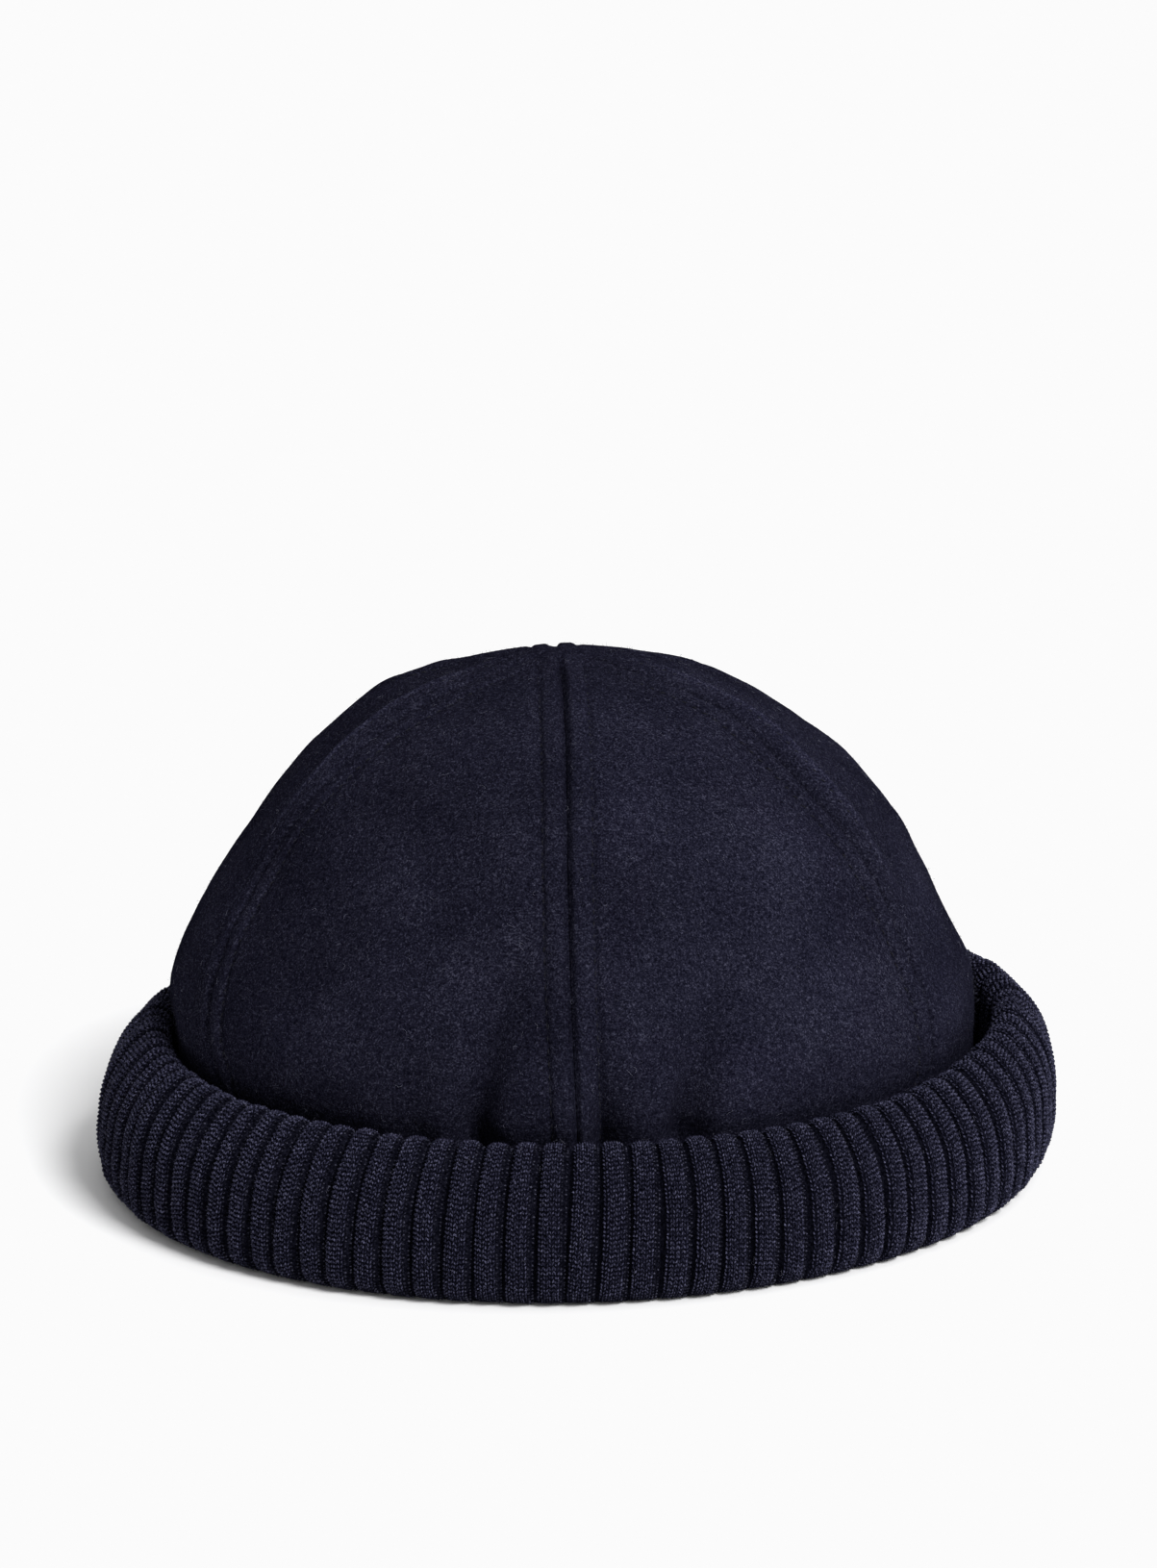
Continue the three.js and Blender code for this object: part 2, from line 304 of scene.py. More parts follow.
def spline(knots, values, places):
    """Smooth curve through values at knots, with slopes taken from the neighbours."""
    slopes = np.gradient(values, knots)
    index = np.clip(np.searchsorted(knots, places, side="right") - 1, 0, len(knots) - 2)
    gap = knots[index + 1] - knots[index]
    share = (places - knots[index]) / gap
    ease = share * share * (3 - 2 * share)
    start = share * (1 - share) ** 2 * gap * slopes[index]
    end = share * share * (share - 1) * gap * slopes[index + 1]
    return values[index] * (1 - ease) + values[index + 1] * ease + start + end


def crown_profile():
    """The crown's rows, from its hidden sewn edge to past the apex, with the way up the cloth."""
    hidden = (JOIN_HEIGHT + JOIN_GAP - CUFF_HEIGHT) / CROWN_RISE
    rows = [(hidden, *CROWN_ROWS[0][1:]), (hidden / 2, *CROWN_ROWS[0][1:]), *CROWN_ROWS]
    apex = (1.0, 0.0, 0.0, *rows[-1][3:])
    mirrored = (rows[-1][0], -rows[-1][1], *rows[-1][2:])
    table = np.array([*rows, apex, mirrored])
    steps = np.hypot(np.diff(table[:, 0]) * CROWN_RISE, np.diff(table[:, 1]) * HALF_WIDTH)
    return np.concatenate([[0], np.cumsum(steps)]), table


CROWN_WAY, CROWN_TABLE = crown_profile()
CROWN_LENGTH = CROWN_WAY[-2]


def crown_values(way, *names):
    """The named columns of the crown's table at a way up the cloth."""
    return [spline(CROWN_WAY, CROWN_TABLE[:, CROWN_COLUMNS.index(name)], way) for name in names]


def dent_depth(height, radius, angle):
    """How far the dents, the creases and the tuck behind the knit press the felt in."""
    from_front = np.degrees(angle - FRONT)
    above = np.maximum(height, 0)
    total = 0
    for dent in DENTS:
        middle = dent["degrees"] + dent["lean"] * (above - dent["height"])
        turn = (from_front - middle + 180) % 360 - 180
        across = np.radians(turn) * radius / dent["wide"]
        up = (height - dent["height"]) * CROWN_RISE / HALF_WIDTH / dent["tall"]
        total = total + dent["depth"] * HALF_WIDTH * np.exp(-across**2 - up**2)
    at_front = TUCK_BEHIND + (1 - TUCK_BEHIND) * np.maximum(-np.sin(angle), 0)
    return total + TUCK_DEPTH * at_front * np.exp(-(((height - TUCK_HEIGHT) / TUCK_RISE) ** 2))


# How far up and down the cloth its slope is measured
SLOPE_STEP = 0.2 * MM


def crown_at(way, angle):
    """The crown's outer surface without seams, at a way up the cloth and an angle: its
    point, the way that it faces there, and its radius."""
    height, radius, flat, lean_x, lean_y = crown_values(way, *CROWN_COLUMNS[:5])
    around_seams = (1 - np.cos(PANEL_COUNT * (angle - FRONT))) / 2
    share = radius * (1 - flat * around_seams)
    x = HALF_WIDTH * (share * np.cos(angle) + lean_x)
    y = HALF_LENGTH * (share * np.sin(angle) + lean_y)
    z = CUFF_HEIGHT + height * CROWN_RISE
    points = stacked(x, y, z)
    level = unit(stacked(np.cos(angle) / HALF_WIDTH, np.sin(angle) / HALF_LENGTH))
    above, below = (
        crown_values(way + side, "height", "radius") for side in (SLOPE_STEP, -SLOPE_STEP)
    )
    rise = (above[0] - below[0]) * CROWN_RISE
    inward = (below[1] - above[1]) * HALF_WIDTH
    slope = np.hypot(rise, inward)
    out = np.broadcast_to(rise / slope, level.shape[:-1])
    up = np.broadcast_to(inward / slope, level.shape[:-1])
    facing = np.stack([level[..., 0] * out, level[..., 1] * out, up], -1)
    dents = np.broadcast_to(dent_depth(height, radius, angle), level.shape[:-1])
    return points - facing * dents[..., None], facing, radius * HALF_WIDTH


# Mesh of a gore: distances from its seams at which it has columns, close where the seam
# is, the number of plain columns between them, the number of rows, and the share of a
# narrow tip that the seams' columns may fill
SEAM_STOPS = np.array(
    [0.04, 0.35, 0.7, 1.1, 1.6, 2.4, 3.4, 4.3, 4.9, 5.3, 5.7, 6.1, 6.5, 7.1, 8, 9.2, 11, 13.5]
) * MM
GORE_MIDDLE = 25
GORE_ROWS = 120
TIP_SHARE = 0.75

# Seams: a notch where two gores meet, a flat pad where the allowance lies under them, and
# a groove along each row of topstitches, deeper at the needle holes
NOTCH_DEPTH = 2 * MM
NOTCH_WIDTH = 0.95 * MM
STITCH_OFFSET = 5.7 * MM
STITCH_LENGTH = 2.9 * MM
STITCH_PULL = 0.4
PAD_HEIGHT = 0.7 * MM
PAD_EDGE = (STITCH_OFFSET - 0.8 * MM, STITCH_OFFSET + 0.6 * MM)
GROOVE_DEPTH = 0.75 * MM
GROOVE_WIDTH = 0.7 * MM

# Soft unevenness of steamed felt: the heights and lengths of its long and short waves
LONG_LUMPS = 0.26 * MM
LONG_LUMP_LENGTH = 34 * MM
SHORT_LUMPS = 0.12 * MM
SHORT_LUMP_LENGTH = 13 * MM

# Radius of the hole where the gores' tips meet, and the radii over which each form grows
# from nothing near the apex to its full height
APEX_RADIUS = 0.5 * MM
LINE_FADE = (2 * MM, 14 * MM)
PAD_FADE = (10 * MM, 40 * MM)
FOLD_FADE = (8 * MM, 30 * MM)
LUMP_FADE = (8 * MM, 40 * MM)

# How far up the cloth it is hidden by the knit, and where its lumps reach full height
HIDDEN_WAY = 12 * MM
LUMPED_WAY = 30 * MM


def seam_angle(seam, way):
    """The angle of a seam, counted from the front one, at a way up the cloth."""
    height, turn = crown_values(way, "height", "turn")
    bow = SEAM_BOWS[seam % PANEL_COUNT] * np.sin(math.pi * np.clip(height, 0, 1))
    return FRONT + seam * FULL_TURN / PANEL_COUNT + np.radians(turn + bow)


def beside_seam(seam, angle, way, radius):
    """How far along the cloth an angle is past a seam, counted towards +X at the front."""
    gap = angle - seam_angle(seam, way)
    return (np.mod(gap + math.pi, FULL_TURN) - math.pi) * radius


def seam_distance(angle, way, radius):
    """How far along the cloth an angle is from its nearest seam."""
    gaps = [beside_seam(seam, angle, way, radius) for seam in range(PANEL_COUNT)]
    return np.min(np.abs(gaps), axis=0)


def fold_relief(angle, way, radius):
    """How far the cloth stands out in the soft folds."""
    height = crown_values(way, "height")[0]
    total = 0
    for fold in FOLDS:
        across = (beside_seam(fold["seam"], angle, way, radius) - fold["beside"] * MM) / FOLD_WIDTH
        up = (height - fold["height"]) / fold["tall"]
        total = total + fold["raised"] * MM * np.exp(-across**2 - up**2)
    return total * smoothstep(*FOLD_FADE, radius)


def seam_relief(distance, way, radius):
    """How far the cloth stands out near a seam: a flat allowance under it, a notch where
    the gores meet, and a groove that each needle hole of the topstitch pulls deeper."""
    pad = 1 - smoothstep(*PAD_EDGE, distance)
    notch = np.exp(-((distance / NOTCH_WIDTH) ** 2))
    groove = np.exp(-(((distance - STITCH_OFFSET) / GROOVE_WIDTH) ** 2))
    pull = 1 + STITCH_PULL * np.cos(FULL_TURN * way / STITCH_LENGTH)
    low_pad = PAD_HEIGHT * pad * smoothstep(*PAD_FADE, radius)
    lines = NOTCH_DEPTH * notch + GROOVE_DEPTH * groove * pull
    return low_pad - lines * smoothstep(*LINE_FADE, radius)


def felt_lumps(points):
    """Soft unevenness of steamed felt."""
    long_waves = LONG_LUMPS * soft_waves(points, LONG_LUMP_LENGTH, LONG_LUMP_SEED)
    return long_waves + SHORT_LUMPS * soft_waves(points, SHORT_LUMP_LENGTH, SHORT_LUMP_SEED)


def felt_skin(way, angle):
    """The crown's outer skin with its seams: places, facings and distances from a seam."""
    points, facing, radius = crown_at(way, angle)
    distance = seam_distance(angle, way, radius)
    shown = smoothstep(HIDDEN_WAY, LUMPED_WAY, way)
    lumps = shown * felt_lumps(points) * smoothstep(*LUMP_FADE, radius)
    relief = seam_relief(distance, way, radius) + fold_relief(angle, way, radius) + lumps
    return points + facing * relief[..., None], facing, distance


def gore_columns(radius, half):
    """Angles of a gore's columns from its middle, closer together by its seams."""
    edge, widest = SEAM_STOPS[0], SEAM_STOPS[-1]
    squeeze = min(1, (radius * half * TIP_SHARE - edge) / (widest - edge))
    left = (edge + (SEAM_STOPS - edge) * squeeze) / radius - half
    middle = np.linspace(left[-1], -left[-1], GORE_MIDDLE + 2)[1:-1]
    return np.concatenate([left, middle, -left[::-1]])


def gore(index, material):
    """One gore of the crown, a wall of felt from seam to seam."""
    top = CROWN_LENGTH - APEX_RADIUS
    rings, fold_highlight = [], []
    for way in [0, *np.linspace(HIDDEN_WAY, top, GORE_ROWS)]:
        start, end = seam_angle(index, way), seam_angle(index + 1, way)
        middle = (start + end) / 2
        radius = crown_at(way, middle)[2]
        angles = middle + gore_columns(max(radius, APEX_RADIUS), end - middle)
        ways = np.full(len(angles), way)
        outer, facing, distance = felt_skin(ways, angles)
        beyond = smoothstep(ALLOWANCE_WIDTH, ALLOWANCE_WIDTH + ALLOWANCE_FADE, distance)
        thick = FELT_THICK + ALLOWANCE_THICK * (1 - beyond)
        inner = crown_at(ways, angles)[0] - facing * thick[:, None]
        rings.append(np.concatenate([outer, inner[::-1]]))
        # Painted highlight on the folds, growing with how far each fold stands up
        fold = fold_relief(angles, way, radius) / MM
        fold_highlight.append(np.concatenate([fold, fold[::-1]]))
    points = np.array(rings)
    piece = ring_body(f"felt_gore_{index + 1}", points, material)
    # Each point's tone: the gore's painted shade, a painted highlight on its folds and an uneven
    # tone at random
    tone = piece.data.attributes.new("painted_light_and_nap_tone", "FLOAT", "POINT")
    uneven = BRUSHED_UNEVEN * soft_waves(points, BRUSHED_LENGTH, BRUSHED_SEED)
    painted_light_and_tone = GORE_PAINTED_SHADE[index] * (1 + uneven + FOLD_PAINTED_HIGHLIGHT * np.array(fold_highlight))
    tone.data.foreach_set("value", painted_light_and_tone.astype(np.float32).ravel())
    return piece


# Cuff surface

def bend(centre, radius, start, end, step):
    """A bend of the section: offset and height, and which way the knit faces."""
    count = max(1, round(abs(math.radians(end - start)) * radius / step))
    turn = np.radians(np.linspace(start, end, count + 1))
    out, up = np.cos(turn), np.sin(turn)
    return np.stack([centre[0] + radius * out, centre[1] + radius * up, out, up], -1)


def straight(start, end, facing, step, belly=0):
    """A straight stretch of the section, which may swell outwards in the middle."""
    count = max(1, round(math.dist(start, end) / step))
    share = np.linspace(0, 1, count + 1)[:, None]
    places = np.array(start) * (1 - share) + np.array(end) * share
    places = places + np.array(facing) * belly * np.sin(math.pi * share)
    return np.concatenate([places, np.tile(facing, (count + 1, 1))], 1)


def chain(*parts):
    """Joins stretches of the section, leaving out the points that repeat."""
    kept = [parts[0]]
    for part in parts[1:]:
        same = np.allclose(part[0, :2], kept[-1][-1, :2], atol=1e-7)
        kept.append(part[1:] if same else part)
    return np.concatenate(kept)


INNER_CENTRE = (INNER_BEND, INNER_BEND + KNIT_THICK)
OUTER_CENTRE = (OUTER_REACH - KNIT_THICK - OUTER_BEND, KNIT_THICK + OUTER_BEND)
TURN_COS = math.cos(math.radians(SHOULDER_TURN))
TURN_SIN = math.sin(math.radians(SHOULDER_TURN))
FOLD_RADIUS = (CUFF_THICK - SHOULDER_RADIUS * (1 - TURN_COS)) / (1 + TURN_COS)
FOLD_CENTRE = (CUFF_CLEARANCE + FOLD_RADIUS, CUFF_HEIGHT - FOLD_RADIUS)
SHOULDER_CENTRE = (
    OUTER_REACH - SHOULDER_RADIUS,
    FOLD_CENTRE[1] - (SHOULDER_RADIUS - FOLD_RADIUS) * TURN_SIN,
)
INSIDE_RADIUS = SHOULDER_RADIUS - KNIT_THICK
INSIDE_OFFSET = CUFF_CLEARANCE + KNIT_THICK + INSIDE_BEND
INSIDE_ACROSS = INSIDE_OFFSET - SHOULDER_CENTRE[0]
INSIDE_RISE = math.sqrt((INSIDE_RADIUS - INSIDE_BEND) ** 2 - INSIDE_ACROSS**2)
INSIDE_CENTRE = (INSIDE_OFFSET, SHOULDER_CENTRE[1] + INSIDE_RISE)
INSIDE_TURN = math.degrees(math.atan2(INSIDE_RISE, INSIDE_ACROSS))

# Steps of the mesh along the section: on what shows and in tight bends, in the wide bend
# inside the fold, and on what is straight and hidden
ROW_STEP = 1.2 * MM
INSIDE_STEP = 4 * MM
HIDDEN_STEP = 8 * MM


def outer_skin():
    """The ribbed side of the section, from the sewn edge to the free end."""
    head_side, beside_crown = -KNIT_THICK, CUFF_CLEARANCE
    fold_z = FOLD_CENTRE[1]
    return chain(
        straight((head_side, JOIN_HEIGHT), (head_side, INNER_CENTRE[1]), (-1, 0), ROW_STEP),
        bend(INNER_CENTRE, INNER_BEND + KNIT_THICK, 180, 270, ROW_STEP),
        straight((INNER_CENTRE[0], 0), (OUTER_CENTRE[0], 0), (0, -1), HIDDEN_STEP),
        bend(OUTER_CENTRE, OUTER_BEND + KNIT_THICK, -90, 0, ROW_STEP),
        straight(
            (OUTER_REACH, OUTER_CENTRE[1]),
            (OUTER_REACH, SHOULDER_CENTRE[1]),
            (1, 0),
            ROW_STEP,
            CUFF_BELLY,
        ),
        bend(SHOULDER_CENTRE, SHOULDER_RADIUS, 0, SHOULDER_TURN, ROW_STEP),
        bend(FOLD_CENTRE, FOLD_RADIUS, SHOULDER_TURN, 180, ROW_STEP),
        straight((beside_crown, fold_z), (beside_crown, FREE_END_HEIGHT), (-1, 0), ROW_STEP),
    )


def hidden_skin():
    """The plain side of the section, inside the fold, from the free end back."""
    inside_ply = CUFF_CLEARANCE + KNIT_THICK
    inside_leg = OUTER_REACH - KNIT_THICK
    inside_z, low_z, high_z = INSIDE_CENTRE[1], OUTER_CENTRE[1], SHOULDER_CENTRE[1]
    return chain(
        straight((inside_ply, FREE_END_HEIGHT), (inside_ply, inside_z), (1, 0), HIDDEN_STEP),
        bend(INSIDE_CENTRE, INSIDE_BEND, 180, INSIDE_TURN, ROW_STEP),
        bend(SHOULDER_CENTRE, INSIDE_RADIUS, INSIDE_TURN, 0, INSIDE_STEP),
        straight((inside_leg, high_z), (inside_leg, low_z), (-1, 0), HIDDEN_STEP),
        bend(OUTER_CENTRE, OUTER_BEND, 0, -90, ROW_STEP),
        bend(INNER_CENTRE, INNER_BEND, 270, 180, ROW_STEP),
        straight((0, INNER_CENTRE[1]), (0, JOIN_HEIGHT), (1, 0), HIDDEN_STEP),
    )


OUTER_SKIN = outer_skin()
OUTER_WAY = np.concatenate([[0], np.cumsum(np.hypot(*np.diff(OUTER_SKIN[:, :2], axis=0).T))])
LEG_LENGTH = JOIN_HEIGHT - INNER_CENTRE[1]
FOOT_START = LEG_LENGTH + math.pi / 2 * (INNER_BEND + KNIT_THICK)
FOOT_END = FOOT_START + OUTER_CENTRE[0] - INNER_CENTRE[0]


def around(steps, angle):
    """A value given at even steps round the cuff, eased from step to step."""
    turn = np.mod(angle / FULL_TURN, 1) * len(steps)
    index = np.floor(turn).astype(int)
    ease = smoothstep(0, 1, turn - index)
    values = np.array(steps)
    return values[index % len(steps)] * (1 - ease) + values[(index + 1) % len(steps)] * ease


# Where each rib is in its wander, and its share of the full depth
rib_pick = np.random.default_rng(RIB_SEED)
RIB_SWAY = rib_pick.uniform(0, FULL_TURN, RIB_COUNT)
RIB_SIZE = rib_pick.uniform(*RIB_SIZES, RIB_COUNT)


def rib_angle(rib, way, z):
    """The angle of a rib coordinate. Ribs lean as they rise and wander a little, except
    in the grooves, where neighbours meet."""
    near = np.round(rib).astype(int) % RIB_COUNT
    sway = RIB_WANDER * np.sin(way / RIB_WANDER_LENGTH + RIB_SWAY[near])
    fade = 1 - np.abs(2 * (rib - np.round(rib))) ** 4
    return FRONT + FULL_TURN * (rib + sway * fade) / RIB_COUNT + RIB_LEAN * z / CUFF_HEIGHT


def cuff_point(offset, z, out, up, rib, way, sunk, moves):
    """A point of the cuff at a place on its section and a rib, sunk below the crests."""
    angle = rib_angle(rib, way, z)
    bulge = around(CUFF_BULGES, angle) * MM * offset / OUTER_REACH
    turned_share = (z - FREE_END_HEIGHT) / (CUFF_HEIGHT - FREE_END_HEIGHT)
    splay = around(CUFF_SPLAYS, angle) * MM * turned_share
    offset = offset + moves * (bulge + splay) - out * sunk
    z = np.maximum(z - up * sunk, 0) * (1 + moves * around(CUFF_RISES, angle))
    x = (HALF_WIDTH + offset) * np.cos(angle)
    y = (HALF_LENGTH + offset) * np.sin(angle)
    return stacked(x, y, z)


def cuff_at(rib, way, lift=0):
    """A point of the cuff's ribbed side: rib counts ribs from the front, with crests at
    whole numbers, and way runs along the section."""
    offset, z, out, up = (np.interp(way, OUTER_WAY, OUTER_SKIN[:, column]) for column in range(4))
    relief = 1 - smoothstep(FOOT_START - FOOT_FADE, FOOT_START, way)
    relief = relief + smoothstep(FOOT_END, FOOT_END + FOOT_FADE, way)
    relief = relief * (1 - FOLD_FLATTENED * np.clip(up, 0, 1) ** 2)
    beside = 2 * (rib - np.round(rib))
    off_crest = np.abs(beside + RIB_SKEW * (1 - beside**2))
    near = np.round(rib).astype(int) % RIB_COUNT
    sunk = RIB_RELIEF * (1 - (1 - off_crest**RIB_SHARPNESS) * RIB_SIZE[near]) * relief - lift
    moves = smoothstep(FOOT_START, FOOT_END, way)
    return cuff_point(offset, z, out, up, rib, way, sunk, moves)


# Columns of the mesh across a rib, as shares of its width from its middle
RIB_COLUMNS = np.array([-0.5, -0.44, -0.36, -0.26, -0.13, 0, 0.13, 0.26, 0.36, 0.44])


def knit_cuff(material):
    """The whole cuff as one closed ring: a ribbed skin and a plain hidden one."""
    ribs = (np.arange(RIB_COUNT)[:, None] + RIB_COLUMNS[None, :]).ravel()
    ribbed = [cuff_at(ribs, np.full(len(ribs), way)) for way in OUTER_WAY]
    hidden = [
        cuff_point(*spot, ribs, OUTER_WAY[-1], 0, float(spot[0] > INNER_BEND))
        for spot in hidden_skin()
    ]
    return ring_body("rib_knit_body", np.array(ribbed + hidden), material, torus=True)


# Knit stitches

# Columns of V stitches on a rib and of purl bumps on its flank, and how wide a V is, as
# shares of the rib's width from its middle
WALES = np.array([-0.35, -0.18, -0.01, 0.16])
WALE_SHARE = 0.17
PURL_PLACES = np.array([0.29, 0.41])

# Rows of stitches along the section, and how many pieces the ribs are shared among
STITCH_ROW = 1.08 * MM
STITCH_START = FOOT_END + 2.8 * MM
STITCH_END = OUTER_WAY[-1] - 8 * MM
STITCH_PIECES = 4

# A leg of a V stitch: length, width and height, how far its middle stands out, how deep
# its lower end is tucked in, and its slant
LEG_SIZE = np.array([1.45, 0.46, 0.8]) * MM
LEG_LIFT = 0.12 * MM
LEG_TUCK = 0.42 * MM
LEG_SLANT = math.radians(24)

# How much deeper the legs sit by the foot, and how far up the section this fades out
FOOT_SINK = 0.36 * MM
FOOT_RISE = 6 * MM

# How unevenly the legs lie up and down a rib, across it and in their slant, and the range
# of their sizes
LEG_STRAY = 0.05 * MM
LEG_STRAY_ACROSS = 0.006
LEG_STRAY_SLANT = 0.08
LEG_SIZES = (0.9, 1.1)

# A purl bump: length across the rib, width along it and height, how far its middle
# stands out, how unevenly the bumps lie and the range of their sizes
PURL_SIZE = np.array([0.95, 0.66, 0.7]) * MM
PURL_LIFT = 0.1 * MM
PURL_STRAY = 0.08 * MM
PURL_SIZES = (0.85, 1.1)

# The topstitches' thread: width and height, how deep it is tucked in, the share of a
# stitch that shows, and how far below the apex the rows end
THREAD_WIDE = 0.4 * MM
THREAD_HIGH = 0.34 * MM
THREAD_TUCK = 0.15 * MM
THREAD_SHOWN = 0.8
THREAD_END = 16 * MM

# Hairs of the nap: how many, their lengths, width and height, and from flat to upright
# how they lie
NAP_COUNT = 9500
NAP_LENGTHS = (0.7 * MM, 2 * MM)
NAP_WIDE = 0.06 * MM
NAP_HIGH = 0.05 * MM
NAP_LIE = (0.1, 0.75)

# Loose lint: how many hairs on felt and knit, their lengths and thickness, how far they
# stand off, the links of each, the most that one turns from the next, how much longer
# than its share it is, and how far above the knit's skin the hairs start
FELT_LINT = 520
KNIT_LINT = 260
LINT_LENGTHS = (0.6 * MM, 2.2 * MM)
LINT_THICK = 0.055 * MM
LINT_OFF = (0.05 * MM, 0.5 * MM)
LINT_LINKS = 4
LINT_TURN = 0.9
LINK_OVERLAP = 1.15
LINT_LIFT = 0.5 * MM

# Where nap and lint start up the crown's cloth, and where lint lies on the knit
FELT_HAIR_START = 20 * MM
KNIT_HAIR_START = FOOT_END + 4 * MM
KNIT_HAIR_END = OUTER_WAY[-1] - 20 * MM

# How deep a spindle's upper end is drawn in, as a share of its lower end's tuck
UPPER_TUCK = 0.3


def spindles(name, centres, along, across, outward, sizes, material, tuck=0.0):
    """Many small lengths of yarn, each pointed at both ends and square in its middle.
    The lower end is tucked in by most. sizes holds length, width and height."""
    long, wide, high = (sizes[:, column, None] / 2 for column in range(3))
    lower = centres - along * long - outward * tuck
    upper = centres + along * long - outward * tuck * UPPER_TUCK
    ring = [across * wide, outward * high, -across * wide, -outward * high]
    points = np.stack([lower, *(centres + side for side in ring), upper], 1)
    count = len(centres)
    cone = [(0, k, k % 4 + 1) for k in (1, 2, 3, 4)]
    cap = [(5, k % 4 + 1, k) for k in (1, 2, 3, 4)]
    pattern = np.array(cone + cap)
    faces = (pattern[None] + 6 * np.arange(count)[:, None, None]).reshape(-1, 3)
    cells = math.ceil(math.sqrt(count))
    cell = np.stack([np.arange(count) % cells, np.arange(count) // cells], -1)
    corner = np.array([(0.5, 0.1), (0.1, 0.5), (0.5, 0.5), (0.9, 0.5), (0.5, 0.5), (0.5, 0.9)])
    uv = (cell[:, None, :] + corner[pattern.ravel()][None]) / cells
    return mesh_object(name, points.reshape(-1, 3), faces, uv.reshape(-1, 2), material)


def crown_places(count, pick, low, high):
    """Seeded places spread evenly over the crown: ways up the cloth and angles. More are
    drawn than are kept, because they are thinned out towards the apex."""
    spare = 3
    way = pick.uniform(low, high, count * spare)
    radius = crown_values(way, "radius")[0]
    way = way[pick.uniform(0, 1, len(way)) < radius][:count]
    return way, pick.uniform(0, FULL_TURN, len(way))


def felt_fibres(material):
    """Short hairs of the felt's nap, lying over it in all directions."""
    pick = np.random.default_rng(NAP_SEED)
    way, angle = crown_places(NAP_COUNT, pick, FELT_HAIR_START, CROWN_LENGTH)
    roots, facing, _ = felt_skin(way, angle)
    side = unit(np.cross(facing, pick.normal(size=roots.shape)))
    lie = pick.uniform(*NAP_LIE, (len(way), 1))
    heading = unit(side * (1 - lie) + facing * lie)
    long = pick.uniform(*NAP_LENGTHS, (len(way), 1))
    beside = unit(np.cross(heading, facing))
    above = unit(np.cross(beside, heading))
    size = np.concatenate([long, np.full_like(long, NAP_WIDE), np.full_like(long, NAP_HIGH)], 1)
    rooted = 0.45
    centres = roots + heading * long * rooted
    return spindles("felt_nap", centres, heading, beside, above, size, material)


def curls(name, roots, facing, pick, material):
    """Loose hairs that lie in arcs, each a chain of links."""
    count = len(roots)
    link = pick.uniform(*LINT_LENGTHS, (count, 1)) / LINT_LINKS
    side = unit(np.cross(facing, pick.normal(size=roots.shape)))
    bend_by = pick.uniform(-LINT_TURN, LINT_TURN, (count, 1))
    place = roots + facing * pick.uniform(*LINT_OFF, (count, 1))
    centres, headings = [], []
    for step in range(LINT_LINKS):
        turn = bend_by * (step - (LINT_LINKS - 1) / 2)
        heading = unit(side * np.cos(turn) + np.cross(facing, side) * np.sin(turn))
        centres.append(place + heading * link / 2)
        headings.append(heading)
        place = place + heading * link
    centres, along = np.concatenate(centres), np.concatenate(headings)
    outward = np.tile(facing, (LINT_LINKS, 1))
    thick = np.full((len(centres), 1), LINT_THICK)
    size = np.concatenate([np.tile(link * LINK_OVERLAP, (LINT_LINKS, 1)), thick, thick], 1)
    return spindles(name, centres, along, unit(np.cross(along, outward)), outward, size, material)


def topstitches(material):
    """Two rows of thread along every seam, drawn down into the felt."""
    rows = np.arange(HIDDEN_WAY, CROWN_LENGTH - THREAD_END, STITCH_LENGTH) + STITCH_LENGTH / 2
    seam, side, way = grids(np.arange(PANEL_COUNT), (-1, 1), rows)
    middle = seam_angle(seam, way)
    radius = crown_at(way, middle)[2]
    angle = middle + side * STITCH_OFFSET / radius
    centres, facing, _ = felt_skin(way, angle)
    step = 0.3 * MM
    along = unit(felt_skin(way + step, angle)[0] - felt_skin(way - step, angle)[0])
    size = np.tile([STITCH_LENGTH * THREAD_SHOWN, THREAD_WIDE, THREAD_HIGH], (len(way), 1))
    beside = unit(np.cross(along, facing))
    return spindles("topstitches", centres, along, beside, facing, size, material, THREAD_TUCK)


def frames_on_cuff(rib, way, lift):
    """Centres above the ribbed side, with directions along, across and out of it."""
    step_rib, step_way = 0.02, 0.15 * MM
    centres = cuff_at(rib, way, lift)
    across = unit(cuff_at(rib + step_rib, way, lift) - cuff_at(rib - step_rib, way, lift))
    along = unit(cuff_at(rib, way + step_way, lift) - cuff_at(rib, way - step_way, lift))
    outward = unit(np.cross(across, along))
    return centres, along, unit(np.cross(along, outward)), outward


def knit_stitches(part, material):
    """The legs of the knit stitches on a share of the ribs, two to each V."""
    rows = np.arange(STITCH_START, STITCH_END, STITCH_ROW)
    first = part * RIB_COUNT // STITCH_PIECES
    last = (part + 1) * RIB_COUNT // STITCH_PIECES
    rib, wale, way, side = grids(np.arange(first, last), np.arange(len(WALES)), rows, (-1, 1))
    pick = np.random.default_rng(STITCH_SEED + part)
    count = len(rib)
    phase = pick.uniform(-0.5, 0.5, (RIB_COUNT, len(WALES)))
    way = way + phase[rib, wale] * STITCH_ROW + pick.normal(0, LEG_STRAY, count)
    beside_wale = side * WALE_SHARE / 4
    place = rib + WALES[wale] + beside_wale + pick.normal(0, LEG_STRAY_ACROSS, count)
    sunk = FOOT_SINK * (1 - smoothstep(STITCH_START, STITCH_START + FOOT_RISE, way))
    centres, along, across, outward = frames_on_cuff(place, way, LEG_LIFT - sunk)
    slant = side * (LEG_SLANT + pick.normal(0, LEG_STRAY_SLANT, count))
    heading = along * np.cos(slant)[:, None] + across * np.sin(slant)[:, None]
    beside = np.cross(heading, outward)
    size = pick.uniform(*LEG_SIZES, (count, 1)) * LEG_SIZE
    name = f"knit_stitches_{part + 1}"
    return spindles(name, centres, heading, beside, outward, size, material, LEG_TUCK)


